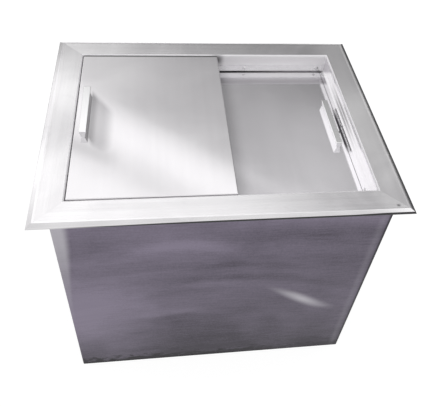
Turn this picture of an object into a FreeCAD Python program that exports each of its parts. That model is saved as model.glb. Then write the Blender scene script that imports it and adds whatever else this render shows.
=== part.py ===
import FreeCAD
import Part
import math
import os

# Drop-in insulated ice bin: a folded steel rim with a stepped well, two sliding lids
# that pass over each other, a deep liner with a drain, foam and an outer jacket.
# Millimetres, Z up, front at -Y, origin on the floor under the middle of the bin.

# Rim: four mitred rails folded from one sheet profile
RIM_LENGTH = 600.0
RIM_DEPTH = 480.0
RIM_HEIGHT = 470.0
FLANGE_WIDTH = 50.0
BEVEL_WIDTH = 8.0
BEVEL_DROP = 3.0
LIP_HEIGHT = 3.0
HEM_WIDTH = 8.0
LEDGE_WIDTH = 15.0
RIM_SHEET = 1.2
BEND_RADIUS = 1.5

# Runner bars: flat bar screwed round the well, under the upper lid, the end bars thicker and lower
SIDE_BAR_WIDTH = 5.0
END_BAR_WIDTH = 9.0
BAR_HEIGHT = 12.0
END_BAR_GAP = 1.0
BAR_SCREW_RADIUS = 2.0
BAR_SCREW_HEAD_RADIUS = 3.6
BAR_SCREW_HEAD_HEIGHT = 1.8
BAR_SCREW_TAIL = 2.0
BAR_SCREW_END = 20.0
LONG_BAR_SCREWS = 4
SHORT_BAR_SCREWS = 3

# Lids: two equal pans, one above the other
LID_SHEET = 1.0
LID_SKIRT = 18.0
LID_HEM = 8.0
LID_EDGE_RADIUS = 1.6
LID_SIDE_GAP = 1.2
LID_END_GAP = 1.5
LID_OVERLAP = 35.0
GLIDE_LENGTH = 40.0
GLIDE_THICKNESS = 4.8
GLIDE_INSET = 14.0
GLIDE_ROUND = 2.0
RUN_GAP = 0.2

# Handles: low solid bars with a wide top on a narrow foot, held by screws from under the lid
HANDLE_LENGTH = 124.0
HANDLE_HEIGHT = 13.0
HANDLE_CLEARANCE = 7.0
UPPER_HANDLE_INSET = 16.5
LOWER_HANDLE_INSET = 24.0
HANDLE_SET_BACK = 11.0
HANDLE_TOP_WIDTH = 12.5
HANDLE_TOP_DEPTH = 6.5
HANDLE_WAIST_WIDTH = 5.8
HANDLE_FOOT_WIDTH = 6.6
HANDLE_FOOT_DEPTH = 1.0
HANDLE_EDGE = 1.0
HANDLE_SCREW_END = 18.0
HANDLE_SCREW_RADIUS = 1.5
HANDLE_SCREW_HEAD_RADIUS = 3.4
HANDLE_SCREW_HEAD_HEIGHT = 1.8
HANDLE_SCREW_BITE = 5.0
SCREW_HOLE_SPARE = 1.0

# Jacket: a wrap round three sides, a back panel and a raised base
SIDE_OVERHANG = 30.0
FRONT_OVERHANG = 12.0
JACKET_SHEET = 1.0
FOOT_RETURN = 16.0
LAP_WIDTH = 18.0
BACK_EDGE_SET = 2.0
BASE_RECESS = 36.0
BASE_TURNDOWN = 20.0
RIVET_RADIUS = 2.0
RIVET_HEAD_RADIUS = 4.0
RIVET_HEAD_HEIGHT = 1.2
RIVET_TAIL = 1.5
RIVET_END = 45.0
RIVETS_PER_LAP = 4

# Liner: a deep tub with coved corners and a floor dished towards the drain
LINER_SHEET = 1.0
LINER_LAP = 12.0
LINER_CORNER = 20.0
LINER_COVE = 12.0
DISH_DEPTH = 6.0
DISH_MARGIN = 12.0
DISH_FLAT_MARGIN = 6.0

# Foam between liner and jacket
BASE_FOAM = 34.0
FOAM_GAP = 0.3
FASTENER_ROOM = 3.0

# Drain: a flanged body with a strainer on top and a hose spigot below the base
DRAIN_FLANGE_RADIUS = 32.0
DRAIN_FLANGE = 4.0
DRAIN_SHANK_RADIUS = 16.5
DRAIN_BORE_RADIUS = 10.0
DRAIN_SPIGOT_RADIUS = 12.5
DRAIN_SPIGOT_FLOOR = 5.0
DRAIN_THREAD_END = 2.0
DRAIN_WEB_WIDTH = 4.0
DRAIN_WEB_DEPTH = 6.0
DRAIN_BOSS_RADIUS = 4.5
GASKET_THICKNESS = 1.0
WASHER_THICKNESS = 1.5
WASHER_RADIUS = 25.0
NUT_THICKNESS = 8.0
NUT_FLATS = 44.0
NUT_SIDES = 6
NUT_CHAMFER = 1.5
STRAINER_RADIUS = 24.0
STRAINER_SHEET = 1.2
STRAINER_HOLE_RADIUS = 2.0
STRAINER_RING_PITCH = 6.0
STRAINER_RINGS = 2
FIRST_RING_HOLES = 6
STRAINER_SCREW_RADIUS = 2.0
STRAINER_SCREW_HEAD_RADIUS = 3.8
STRAINER_SCREW_HEAD_HEIGHT = 1.6
STRAINER_SCREW_LENGTH = 6.0

# Fit between a hole and what passes through it
HOLE_CLEARANCE = 0.15
SEAT_CLEARANCE = 0.2
DRAIN_CLEARANCE = 0.4

# Share of a run that a bend may take, how far cutters reach past what they cut, and what counts as level
BEND_SHARE = 0.45
CUT = 5.0
MATCH = 0.001

# Levels
rim_seat = RIM_HEIGHT - BEVEL_DROP - LIP_HEIGHT
upper_lid_top = RIM_HEIGHT
bar_top = upper_lid_top - LID_SKIRT - GLIDE_THICKNESS - RUN_GAP
bar_middle = bar_top - BAR_HEIGHT / 2
lower_lid_top = upper_lid_top - LID_SKIRT - HANDLE_CLEARANCE - HANDLE_HEIGHT
ledge_top = lower_lid_top - LID_SKIRT - GLIDE_THICKNESS - RUN_GAP
liner_top = ledge_top - RIM_SHEET
flange_under = RIM_HEIGHT - RIM_SHEET
base_top = BASE_RECESS + JACKET_SHEET
base_foam_top = base_top + FOAM_GAP + BASE_FOAM
dish_floor = base_foam_top + FOAM_GAP + LINER_SHEET
liner_floor = dish_floor + DISH_DEPTH

# Plan sizes, from the middle outwards
half_rim = FreeCAD.Vector(RIM_LENGTH / 2, RIM_DEPTH / 2, 0)
half_well = FreeCAD.Vector(half_rim.x - FLANGE_WIDTH, half_rim.y - FLANGE_WIDTH, 0)
half_liner = FreeCAD.Vector(half_well.x - LEDGE_WIDTH, half_well.y - LEDGE_WIDTH, 0)
half_jacket = FreeCAD.Vector(half_rim.x - SIDE_OVERHANG, half_rim.y - FRONT_OVERHANG, 0)
jacket_inside = FreeCAD.Vector(half_jacket.x - JACKET_SHEET, half_jacket.y - JACKET_SHEET, 0)
lap_inside = jacket_inside.y - JACKET_SHEET
lid_length = half_well.x - LID_END_GAP + LID_OVERLAP / 2
lid_half_depth = half_well.y - LID_SIDE_GAP
upper_lid_left = -half_well.x + LID_END_GAP
lower_lid_left = half_well.x - LID_END_GAP - lid_length
dish_radius = half_liner.y - LINER_COVE - DISH_MARGIN
dish_flat = DRAIN_FLANGE_RADIUS + DISH_FLAT_MARGIN


def on_yz(u, v):
    return FreeCAD.Vector(0, u, v)


def on_xz(u, v):
    return FreeCAD.Vector(u, 0, v)


def on_xy(u, v):
    return FreeCAD.Vector(u, v, 0)


def block(low, high):
    """Box between two corners."""
    size = [b - a for a, b in zip(low, high)]
    return Part.makeBox(*size, FreeCAD.Vector(*low))


def prism(points, low, high):
    """Upright prism over a plan outline."""
    outline = [FreeCAD.Vector(x, y, low) for x, y in points]
    face = Part.Face(Part.makePolygon(outline + outline[:1]))
    return face.extrude(FreeCAD.Vector(0, 0, high - low))


def cylinder(radius, low, high, x=0.0, y=0.0):
    return Part.makeCylinder(radius, high - low, FreeCAD.Vector(x, y, low))


def ring(outer, inner, low, high):
    """Upright ring round the drain axis."""
    return cylinder(outer, low, high).cut(cylinder(inner, low - CUT, high + CUT))


def line(a, b):
    return Part.LineSegment(a, b).toShape()


def arc(a, middle, b):
    return Part.Arc(a, middle, b).toShape()


def turned(edges):
    """Solid of revolution about Z from edges drawn in the XZ plane."""
    face = Part.Face(Part.Wire(edges))
    return face.revolve(FreeCAD.Vector(0, 0, 0), FreeCAD.Vector(0, 0, 1), 360)


def turned_outline(points):
    """Solid of revolution from (radius, height) corners."""
    corners = [on_xz(r, z) for r, z in points]
    return turned([line(a, b) for a, b in zip(corners, corners[1:] + corners[:1])])


def rounded(shape, radius, wanted):
    """Shape with the edges that pass the test rounded."""
    return shape.makeFillet(radius, [edge for edge in shape.Edges if wanted(edge)])


def is_upright(edge):
    return abs(edge.BoundBox.ZLength - edge.Length) < MATCH


def is_level_at(height):
    """Test for edges that lie at one height."""
    def test(edge):
        box = edge.BoundBox
        return max(abs(box.ZMin - height), abs(box.ZMax - height)) < MATCH
    return test


def evenly(low, high, count):
    """Places spread evenly from low to high."""
    step = (high - low) / (count - 1)
    return [low + step * i for i in range(count)]


class Bend:
    """One fold of a sheet path: the corner, its directions and the two radii."""

    def __init__(self, before, corner, after, sheet):
        self.corner = corner
        run_in = corner - before
        run_out = after - corner
        self.way_in = FreeCAD.Vector(run_in).normalize()
        self.way_out = FreeCAD.Vector(run_out).normalize()
        turn = self.way_in.cross(self.way_out).z
        self.half_angle = self.way_in.getAngle(self.way_out) / 2
        shortest = min(run_in.Length, run_out.Length)
        outer = min(BEND_RADIUS + sheet, BEND_SHARE * shortest / math.tan(self.half_angle))
        inner = max(outer - sheet, 0.0)
        self.path_radius = outer if turn > 0 else inner
        self.far_radius = inner if turn > 0 else outer

    def stops(self, offset, radius):
        """Tangent points and middle of the bend on the skin at this offset to the left."""
        left = left_of(self.way_in) + left_of(self.way_out)
        corner = self.corner + left * (offset / (1 + self.way_in.dot(self.way_out)))
        if radius <= 0:
            return [corner]
        tangent = radius * math.tan(self.half_angle)
        inwards = (self.way_out - self.way_in).normalize()
        middle = corner + inwards * (radius / math.cos(self.half_angle) - radius)
        return [corner - self.way_in * tangent, middle, corner + self.way_out * tangent]


def left_of(way):
    return FreeCAD.Vector(-way.y, way.x, 0)


def skin_edges(stops, place):
    """Lines between stops and arcs through those that have three points."""
    edges = []
    pen = None
    for stop in stops:
        spots = [place(p.x, p.y) for p in stop]
        if pen is not None:
            edges.append(line(pen, spots[0]))
        if len(spots) > 1:
            edges.append(arc(*spots))
        pen = spots[-1]
    return edges


def folded_sheet(path, sheet, place):
    """Face of a folded sheet: path is one skin, and the metal lies on its left."""
    corners = [FreeCAD.Vector(u, v, 0) for u, v in path]
    bends = [Bend(*three, sheet) for three in zip(corners, corners[1:], corners[2:])]
    first_left = left_of((corners[1] - corners[0]).normalize()) * sheet
    last_left = left_of((corners[-1] - corners[-2]).normalize()) * sheet
    near = [[corners[0]]] + [b.stops(0.0, b.path_radius) for b in bends] + [[corners[-1]]]
    far = [[corners[0] + first_left]]
    far += [b.stops(sheet, b.far_radius) for b in bends]
    far += [[corners[-1] + last_left]]
    caps = [line(place(a.x, a.y), place(b.x, b.y))
            for a, b in ((near[0][0], far[0][0]), (near[-1][0], far[-1][0]))]
    edges = skin_edges(near, place) + skin_edges(far, place) + caps
    return Part.Face(Part.Wire(Part.__sortEdges__(edges)))


def screw(radius, length, head_radius, head_height):
    """Screw or rivet along Z: head domed as part of a ball above zero, shank below."""
    ball = (head_radius ** 2 + head_height ** 2) / (2 * head_height)
    slope = math.asin(head_radius / ball) / 2
    shoulder = on_xz(head_radius, 0)
    dome = on_xz(ball * math.sin(slope), head_height - ball + ball * math.cos(slope))
    crown = on_xz(0, head_height)
    foot = on_xz(0, -length)
    return turned([
        line(foot, on_xz(radius, -length)),
        line(on_xz(radius, -length), on_xz(radius, 0)),
        line(on_xz(radius, 0), shoulder),
        arc(shoulder, dome, crown),
        line(crown, foot),
    ])


def facing(shape, way):
    """Shape made along +Z, turned so that it points another way."""
    turned_copy = shape.copy()
    rotation = FreeCAD.Rotation(FreeCAD.Vector(0, 0, 1), way)
    turned_copy.Placement = FreeCAD.Placement(FreeCAD.Vector(0, 0, 0), rotation)
    return turned_copy


def at(shape, place):
    moved = shape.copy()
    moved.translate(place)
    return moved


def about_z(shape, degrees):
    turned_copy = shape.copy()
    turned_copy.rotate(FreeCAD.Vector(0, 0, 0), FreeCAD.Vector(0, 0, 1), degrees)
    return turned_copy


def bar_screw_places(half_span, count):
    return evenly(-half_span + BAR_SCREW_END, half_span - BAR_SCREW_END, count)


def bar_drills(places, half_span, width):
    """Drills along Y through a bar and the rim wall on the front side."""
    radius = BAR_SCREW_RADIUS + HOLE_CLEARANCE
    start = -half_span - RIM_SHEET - CUT
    depth = RIM_SHEET + width + 2 * CUT
    way = FreeCAD.Vector(0, 1, 0)
    return [Part.makeCylinder(radius, depth, FreeCAD.Vector(x, start, bar_middle), way) for x in places]


def rim_rail(length, half_span, well_half_span, drills):
    """One rail along X on the front side: hem, lip, bevel, flange, well wall and ledge."""
    outer = -half_span
    well = -well_half_span
    profile = folded_sheet([
        (well + LEDGE_WIDTH, ledge_top),
        (well, ledge_top),
        (well, RIM_HEIGHT),
        (outer + BEVEL_WIDTH, RIM_HEIGHT),
        (outer, RIM_HEIGHT - BEVEL_DROP),
        (outer, rim_seat),
        (outer + HEM_WIDTH, rim_seat),
    ], RIM_SHEET, on_yz)
    straight = at(profile.extrude(FreeCAD.Vector(length, 0, 0)), FreeCAD.Vector(-length / 2, 0, 0))
    reach = FLANGE_WIDTH + LEDGE_WIDTH + CUT
    mitre = prism([
        (-length / 2, outer),
        (length / 2, outer),
        (length / 2 - reach, outer + reach),
        (-length / 2 + reach, outer + reach),
    ], ledge_top - RIM_SHEET - CUT, RIM_HEIGHT + CUT)
    return straight.common(mitre).cut(drills)


def runner_bar(half_length, half_span, width, bottom, drills):
    """Flat bar along X against the front wall of the well."""
    low = (-half_length, -half_span, bottom)
    high = (half_length, -half_span + width, bar_top)
    return block(low, high).cut(drills)


def bar_screws(places, half_span, width):
    """Screws through the front bar, with their heads facing the back."""
    length = width + RIM_SHEET + BAR_SCREW_TAIL
    one = screw(BAR_SCREW_RADIUS, length, BAR_SCREW_HEAD_RADIUS, BAR_SCREW_HEAD_HEIGHT)
    one = facing(one, FreeCAD.Vector(0, 1, 0))
    return [at(one, FreeCAD.Vector(x, -half_span + width, bar_middle)) for x in places]


def rim_and_runners():
    """Four rails, four bars and their screws, each made on the front side and turned into place."""
    pieces = {}
    screws = []
    end_half = half_well.y - SIDE_BAR_WIDTH
    side_bar = (half_well.x, SIDE_BAR_WIDTH, bar_top - BAR_HEIGHT, LONG_BAR_SCREWS)
    end_bar = (end_half, END_BAR_WIDTH, lower_lid_top + END_BAR_GAP, SHORT_BAR_SCREWS)
    sides = (
        ("front", 0, RIM_LENGTH, half_rim.y, half_well.y, side_bar),
        ("right", 90, RIM_DEPTH, half_rim.x, half_well.x, end_bar),
        ("back", 180, RIM_LENGTH, half_rim.y, half_well.y, side_bar),
        ("left", -90, RIM_DEPTH, half_rim.x, half_well.x, end_bar),
    )
    for name, turn, length, span, well_span, (bar_half, width, bottom, count) in sides:
        places = bar_screw_places(bar_half, count)
        drills = bar_drills(places, well_span, width)
        pieces["rim_" + name] = about_z(rim_rail(length, span, well_span, drills), turn)
        pieces["runner_bar_" + name] = about_z(runner_bar(bar_half, well_span, width, bottom, drills), turn)
        screws += [about_z(one, turn) for one in bar_screws(places, well_span, width)]
    pieces["runner_screws"] = Part.makeCompound(screws)
    return pieces


def rounded_pan(left, half_depth, top, skirt, inset, radius):
    """Solid of a lid's outside, or of its hollow when inset by the sheet."""
    low = (left + inset, -half_depth + inset, top - skirt)
    high = (left + lid_length - inset, half_depth - inset, top - inset)
    pan = rounded(block(low, high), radius, is_upright)
    return rounded(pan, radius, is_level_at(top - inset))


def lid_panel(left, top, screw_places):
    """Folded pan with four skirts and turned-in hems along the runners."""
    bottom = top - LID_SKIRT
    outside = rounded_pan(left, lid_half_depth, top, LID_SKIRT, 0.0, LID_EDGE_RADIUS)
    hollow = rounded_pan(left, lid_half_depth, top, LID_SKIRT + CUT, LID_SHEET, LID_EDGE_RADIUS - LID_SHEET)
    panel = outside.cut(hollow)
    for side in (-1, 1):
        ends = sorted((side * (lid_half_depth - LID_HEM), side * (lid_half_depth - LID_SHEET / 2)))
        low = (left + LID_EDGE_RADIUS, ends[0], bottom)
        high = (left + lid_length - LID_EDGE_RADIUS, ends[1], bottom + LID_SHEET)
        panel = panel.fuse(block(low, high))
    radius = HANDLE_SCREW_RADIUS + HOLE_CLEARANCE
    drills = [cylinder(radius, top - LID_SHEET - CUT, top + CUT, x, y) for x, y in screw_places]
    return panel.removeSplitter().cut(drills)


def lid_glides(left, top):
    """Four plastic blocks under the hems, near the lid's corners, with their leading edges rounded."""
    high = top - LID_SKIRT
    low = high - GLIDE_THICKNESS

    def leads(edge):
        return is_level_at(low)(edge) and edge.BoundBox.XLength < MATCH

    glides = []
    for x in (left + GLIDE_INSET, left + lid_length - GLIDE_INSET - GLIDE_LENGTH):
        for side in (-1, 1):
            ends = sorted((side * (lid_half_depth - LID_HEM), side * lid_half_depth))
            glide = block((x, ends[0], low), (x + GLIDE_LENGTH, ends[1], high))
            glides.append(rounded(glide, GLIDE_ROUND, leads))
    return Part.makeCompound(glides)


def handle_bar(x, top, screw_places):
    """Bar along Y with a narrow foot, concave sides and a wide top with rounded edges."""
    foot = HANDLE_FOOT_WIDTH / 2
    waist = HANDLE_WAIST_WIDTH / 2
    crown = HANDLE_TOP_WIDTH / 2
    under = HANDLE_HEIGHT - HANDLE_TOP_DEPTH
    middle = (HANDLE_FOOT_DEPTH + under) / 2
    edges = [line(on_xz(-foot, 0), on_xz(foot, 0))]
    edges.append(line(on_xz(-crown, HANDLE_HEIGHT), on_xz(crown, HANDLE_HEIGHT)))
    for side in (-1, 1):
        heel = on_xz(side * foot, HANDLE_FOOT_DEPTH)
        brow = on_xz(side * crown, under)
        edges.append(line(on_xz(side * foot, 0), heel))
        edges.append(arc(heel, on_xz(side * waist, middle), brow))
        edges.append(line(brow, on_xz(side * crown, HANDLE_HEIGHT)))
    face = Part.Face(Part.Wire(Part.__sortEdges__(edges)))
    bar = face.extrude(FreeCAD.Vector(0, HANDLE_LENGTH, 0))
    bar = rounded(bar, HANDLE_EDGE, is_level_at(HANDLE_HEIGHT))
    bar = at(bar, FreeCAD.Vector(x, HANDLE_SET_BACK - HANDLE_LENGTH / 2, top))
    radius = HANDLE_SCREW_RADIUS + HOLE_CLEARANCE
    depth = HANDLE_SCREW_BITE + SCREW_HOLE_SPARE
    return bar.cut([cylinder(radius, top - CUT, top + depth, sx, sy) for sx, sy in screw_places])


def handle_screws(top, screw_places):
    """Screws from under the lid into the foot of the handle."""
    length = LID_SHEET + HANDLE_SCREW_BITE
    one = screw(HANDLE_SCREW_RADIUS, length, HANDLE_SCREW_HEAD_RADIUS, HANDLE_SCREW_HEAD_HEIGHT)
    one = facing(one, FreeCAD.Vector(0, 0, -1))
    return Part.makeCompound([at(one, FreeCAD.Vector(x, y, top - LID_SHEET)) for x, y in screw_places])


def lid(name, left, top, handle_x):
    """All pieces of one lid."""
    reach = HANDLE_LENGTH / 2 - HANDLE_SCREW_END
    places = [(handle_x, HANDLE_SET_BACK - reach), (handle_x, HANDLE_SET_BACK + reach)]
    return {
        name + "_lid_panel": lid_panel(left, top, places),
        name + "_lid_glides": lid_glides(left, top),
        name + "_handle": handle_bar(handle_x, top, places),
        name + "_handle_screws": handle_screws(top, places),
    }


def lap_rivet_places():
    """Rivet places on the two back laps, as (x, z)."""
    x = half_jacket.x - LAP_WIDTH / 2
    heights = evenly(RIVET_END, rim_seat - RIVET_END, RIVETS_PER_LAP)
    return [(side * x, z) for side in (-1, 1) for z in heights]


def lap_drills():
    radius = RIVET_RADIUS + HOLE_CLEARANCE
    start = lap_inside - CUT
    depth = 2 * JACKET_SHEET + 2 * CUT
    way = FreeCAD.Vector(0, 1, 0)
    return [Part.makeCylinder(radius, depth, FreeCAD.Vector(x, start, z), way) for x, z in lap_rivet_places()]


def jacket_wrap():
    """Front and two sides in one folded sheet, with laps at the back and turned-in feet."""
    x = half_jacket.x
    front = -half_jacket.y
    lap = jacket_inside.y
    plan = folded_sheet([
        (-x + LAP_WIDTH, lap),
        (-x, lap),
        (-x, front),
        (x, front),
        (x, lap),
        (x - LAP_WIDTH, lap),
    ], JACKET_SHEET, on_xy)
    walls = plan.extrude(FreeCAD.Vector(0, 0, flange_under))
    outline = rounded(block((-x, front, 0), (x, lap, JACKET_SHEET)), BEND_RADIUS + JACKET_SHEET, is_upright)
    inside = block((-x + FOOT_RETURN, front + FOOT_RETURN, -CUT), (x - FOOT_RETURN, lap + CUT, CUT))
    wrap = walls.fuse(outline.cut(inside)).removeSplitter()
    return wrap.cut(lap_drills())


def jacket_back():
    """Flat back panel over the laps, with its foot notched clear of the side feet."""
    x = half_jacket.x - BACK_EDGE_SET
    back = half_jacket.y
    profile = folded_sheet([
        (back - FOOT_RETURN, 0),
        (back, 0),
        (back, flange_under),
    ], JACKET_SHEET, on_yz)
    panel = at(profile.extrude(FreeCAD.Vector(2 * x, 0, 0)), FreeCAD.Vector(-x, 0, 0))
    notch_top = JACKET_SHEET + BEND_RADIUS + SEAT_CLEARANCE
    notch_start = half_jacket.x - max(FOOT_RETURN, LAP_WIDTH) - SEAT_CLEARANCE
    notches = []
    for side in (-1, 1):
        ends = sorted((side * notch_start, side * (half_jacket.x + CUT)))
        notches.append(block((ends[0], back - FOOT_RETURN - CUT, -CUT), (ends[1], back + CUT, notch_top)))
    return panel.cut(notches + lap_drills())


def jacket_base():
    """Raised floor pan with its edges turned down inside the jacket."""
    x = jacket_inside.x - SEAT_CLEARANCE
    front = -jacket_inside.y + SEAT_CLEARANCE
    back = lap_inside - SEAT_CLEARANCE
    low = BASE_RECESS - BASE_TURNDOWN
    pan = rounded(block((-x, front, low), (x, back, base_top)), BEND_RADIUS + JACKET_SHEET, is_upright)
    hollow = block(
        (-x + JACKET_SHEET, front + JACKET_SHEET, low - CUT),
        (x - JACKET_SHEET, back - JACKET_SHEET, BASE_RECESS),
    )
    hollow = rounded(hollow, BEND_RADIUS, is_upright)
    hole = cylinder(DRAIN_SHANK_RADIUS + DRAIN_CLEARANCE, low, base_top + CUT)
    return pan.cut([hollow, hole])


def jacket_rivets():
    length = 2 * JACKET_SHEET + RIVET_TAIL
    one = facing(screw(RIVET_RADIUS, length, RIVET_HEAD_RADIUS, RIVET_HEAD_HEIGHT), FreeCAD.Vector(0, 1, 0))
    return Part.makeCompound([at(one, FreeCAD.Vector(x, half_jacket.y, z)) for x, z in lap_rivet_places()])


def tub(grow, top):
    """Solid of the liner's hollow, or of its outside when grown by the sheet."""
    x = half_liner.x + grow
    y = half_liner.y + grow
    floor = liner_floor - grow
    box = rounded(block((-x, -y, floor), (x, y, top)), LINER_CORNER + grow, is_upright)
    box = rounded(box, LINER_COVE + grow, is_level_at(floor))
    dish = Part.makeCone(dish_flat, dish_radius, DISH_DEPTH, FreeCAD.Vector(0, 0, dish_floor - grow))
    return box.fuse(dish)


def liner():
    """Tub with an outward lap that hangs under the rim's ledge."""
    lap_x = half_liner.x + LINER_LAP
    lap_y = half_liner.y + LINER_LAP
    lap = block((-lap_x, -lap_y, liner_top - LINER_SHEET), (lap_x, lap_y, liner_top))
    shell = tub(LINER_SHEET, liner_top).fuse(lap)
    hole = cylinder(DRAIN_SHANK_RADIUS + DRAIN_CLEARANCE, base_foam_top, liner_floor)
    return shell.cut([tub(0.0, liner_top + CUT), hole]).removeSplitter()


def foam_slab(well_half_span, liner_half_span, outer_half_span, half_length):
    """Stepped slab along X on the front side, thick beside the liner and thin beside the well wall."""
    outer = -outer_half_span
    step = liner_top - LINER_SHEET - FOAM_GAP
    thick = -liner_half_span - LINER_SHEET - FOAM_GAP
    thin = -well_half_span - RIM_SHEET - FASTENER_ROOM
    corners = [
        (outer, base_foam_top),
        (thick, base_foam_top),
        (thick, step),
        (thin, step),
        (thin, flange_under),
        (outer, flange_under),
    ]
    wire = Part.makePolygon([on_yz(y, z) for y, z in corners + corners[:1]])
    slab = Part.Face(wire).extrude(FreeCAD.Vector(2 * half_length, 0, 0))
    return at(slab, FreeCAD.Vector(-half_length, 0, 0))


def insulation():
    """Foam on four sides and under the floor, kept clear of bends and fasteners."""
    x = jacket_inside.x - BEND_RADIUS - FOAM_GAP
    front = jacket_inside.y - BEND_RADIUS - FOAM_GAP
    back = lap_inside - max(FASTENER_ROOM, BEND_RADIUS + FOAM_GAP)
    between = half_liner.y + LINER_SHEET
    side_slab = foam_slab(half_well.x, half_liner.x, x, between)
    base = block((-x, -front, base_top + FOAM_GAP), (x, back, base_foam_top))
    base = base.cut(cylinder(DRAIN_SHANK_RADIUS + DRAIN_CLEARANCE, base_top - CUT, base_foam_top + CUT))
    return {
        "insulation_front": foam_slab(half_well.y, half_liner.y, front, x),
        "insulation_back": about_z(foam_slab(half_well.y, half_liner.y, back, x), 180),
        "insulation_left": about_z(side_slab, -90),
        "insulation_right": about_z(side_slab, 90),
        "insulation_base": base,
    }


def drain_body(top, nut_bottom):
    """Flange with a strainer seat, threaded shank, hose spigot and a web for the strainer screw."""
    flange_bottom = top - DRAIN_FLANGE
    seat = top - STRAINER_SHEET
    shank_end = nut_bottom - DRAIN_THREAD_END
    body = turned_outline([
        (DRAIN_BORE_RADIUS, DRAIN_SPIGOT_FLOOR),
        (DRAIN_SPIGOT_RADIUS, DRAIN_SPIGOT_FLOOR),
        (DRAIN_SPIGOT_RADIUS, shank_end),
        (DRAIN_SHANK_RADIUS, shank_end),
        (DRAIN_SHANK_RADIUS, flange_bottom),
        (DRAIN_FLANGE_RADIUS, flange_bottom),
        (STRAINER_RADIUS + SEAT_CLEARANCE, top),
        (STRAINER_RADIUS + SEAT_CLEARANCE, seat),
        (DRAIN_SHANK_RADIUS, seat),
        (DRAIN_BORE_RADIUS, seat - DRAIN_WEB_DEPTH),
    ])
    low = seat - DRAIN_WEB_DEPTH
    reach = DRAIN_SHANK_RADIUS
    cross = []
    for x, y in ((reach, DRAIN_WEB_WIDTH / 2), (DRAIN_WEB_WIDTH / 2, reach)):
        cross.append(block((-x, -y, low), (x, y, seat)))
    web = cross[0].fuse([cross[1], cylinder(DRAIN_BOSS_RADIUS, low, seat)])
    web = web.common(cylinder(reach, low, seat))
    hole = cylinder(STRAINER_SCREW_RADIUS + HOLE_CLEARANCE, low - CUT, seat + CUT)
    return body.fuse(web).removeSplitter().cut(hole)


def drain_strainer(top):
    """Round plate with rings of holes about its screw."""
    plate = cylinder(STRAINER_RADIUS, top - STRAINER_SHEET, top)
    holes = [cylinder(STRAINER_SCREW_RADIUS + HOLE_CLEARANCE, top - CUT, top + CUT)]
    for number in range(1, STRAINER_RINGS + 1):
        radius = STRAINER_SCREW_HEAD_RADIUS + STRAINER_RING_PITCH * number - STRAINER_HOLE_RADIUS
        count = FIRST_RING_HOLES * number
        for i in range(count):
            angle = 2 * math.pi * i / count
            x = radius * math.cos(angle)
            y = radius * math.sin(angle)
            holes.append(cylinder(STRAINER_HOLE_RADIUS, top - CUT, top + CUT, x, y))
    return plate.cut(holes)


def drain_locknut(low, high):
    """Six-sided nut with turned corners."""
    turn = 2 * math.pi / NUT_SIDES
    corner = NUT_FLATS / 2 / math.cos(turn / 2)
    angles = [turn * i for i in range(NUT_SIDES)]
    hexagon = prism([(corner * math.cos(a), corner * math.sin(a)) for a in angles], low, high)
    turned_corners = turned_outline([
        (DRAIN_SHANK_RADIUS + HOLE_CLEARANCE, low),
        (corner - NUT_CHAMFER, low),
        (corner, low + NUT_CHAMFER / 2),
        (corner, high - NUT_CHAMFER / 2),
        (corner - NUT_CHAMFER, high),
        (DRAIN_SHANK_RADIUS + HOLE_CLEARANCE, high),
    ])
    return hexagon.common(turned_corners)


def drain():
    """Drain pieces on the bin's axis, clamped through the floor, foam and base."""
    gasket_top = dish_floor + GASKET_THICKNESS
    top = gasket_top + DRAIN_FLANGE
    washer_bottom = BASE_RECESS - WASHER_THICKNESS
    nut_bottom = washer_bottom - NUT_THICKNESS
    inner = DRAIN_SHANK_RADIUS + HOLE_CLEARANCE
    strainer_screw = screw(
        STRAINER_SCREW_RADIUS, STRAINER_SCREW_LENGTH, STRAINER_SCREW_HEAD_RADIUS, STRAINER_SCREW_HEAD_HEIGHT)
    return {
        "drain_body": drain_body(top, nut_bottom),
        "drain_strainer": drain_strainer(top),
        "drain_screw": at(strainer_screw, FreeCAD.Vector(0, 0, top)),
        "drain_gasket": ring(DRAIN_FLANGE_RADIUS, inner, dish_floor, gasket_top),
        "drain_washer": ring(WASHER_RADIUS, inner, washer_bottom, BASE_RECESS),
        "drain_locknut": drain_locknut(nut_bottom, washer_bottom),
    }


def main():
    os.makedirs("parts", exist_ok=True)
    upper_handle_x = upper_lid_left + UPPER_HANDLE_INSET
    lower_handle_x = lower_lid_left + lid_length - LOWER_HANDLE_INSET
    pieces = rim_and_runners()
    pieces.update(lid("upper", upper_lid_left, upper_lid_top, upper_handle_x))
    pieces.update(lid("lower", lower_lid_left, lower_lid_top, lower_handle_x))
    pieces["jacket_wrap"] = jacket_wrap()
    pieces["jacket_back"] = jacket_back()
    pieces["jacket_base"] = jacket_base()
    pieces["jacket_rivets"] = jacket_rivets()
    pieces["liner"] = liner()
    pieces.update(insulation())
    pieces.update(drain())
    for name, shape in pieces.items():
        shape.exportStep("parts/" + name + ".step")


main()
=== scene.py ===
"""Looks of a drop-in ice bin: brushed rim, two sliding lids, a dull filmed jacket and a drained liner."""

import math

import bmesh
import bpy
from mathutils import Matrix, Vector


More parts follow.
